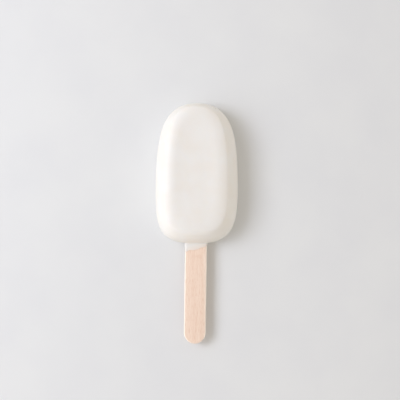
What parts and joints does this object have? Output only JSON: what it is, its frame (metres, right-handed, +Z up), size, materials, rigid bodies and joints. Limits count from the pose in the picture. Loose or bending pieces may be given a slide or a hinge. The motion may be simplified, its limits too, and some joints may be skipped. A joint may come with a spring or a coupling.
{
  "type": "cakesicle",
  "caption": "Small oval cake bar in a smooth white coating, lying flat on its back, with a flat wooden stick out of its base.",
  "frame": {"origin": "on the ground, under the middle of the whole length and width", "axes": "+Z up, away from the flat back; +Y along the bar towards its round crown, the stick pointing along -Y; +X to the right as seen from above with the crown away"},
  "size_m": [0.038, 0.1103, 0.018],
  "materials": {
    "white_coating": "white confectionery coating, set in a smooth mould, satin",
    "birch_wood": "plain birch veneer stick, sanded, unvarnished"
  },
  "bodies": {
    "root": {"coated_bar": "white_coating", "stick": "birch_wood"}
  },
  "joints": []
}
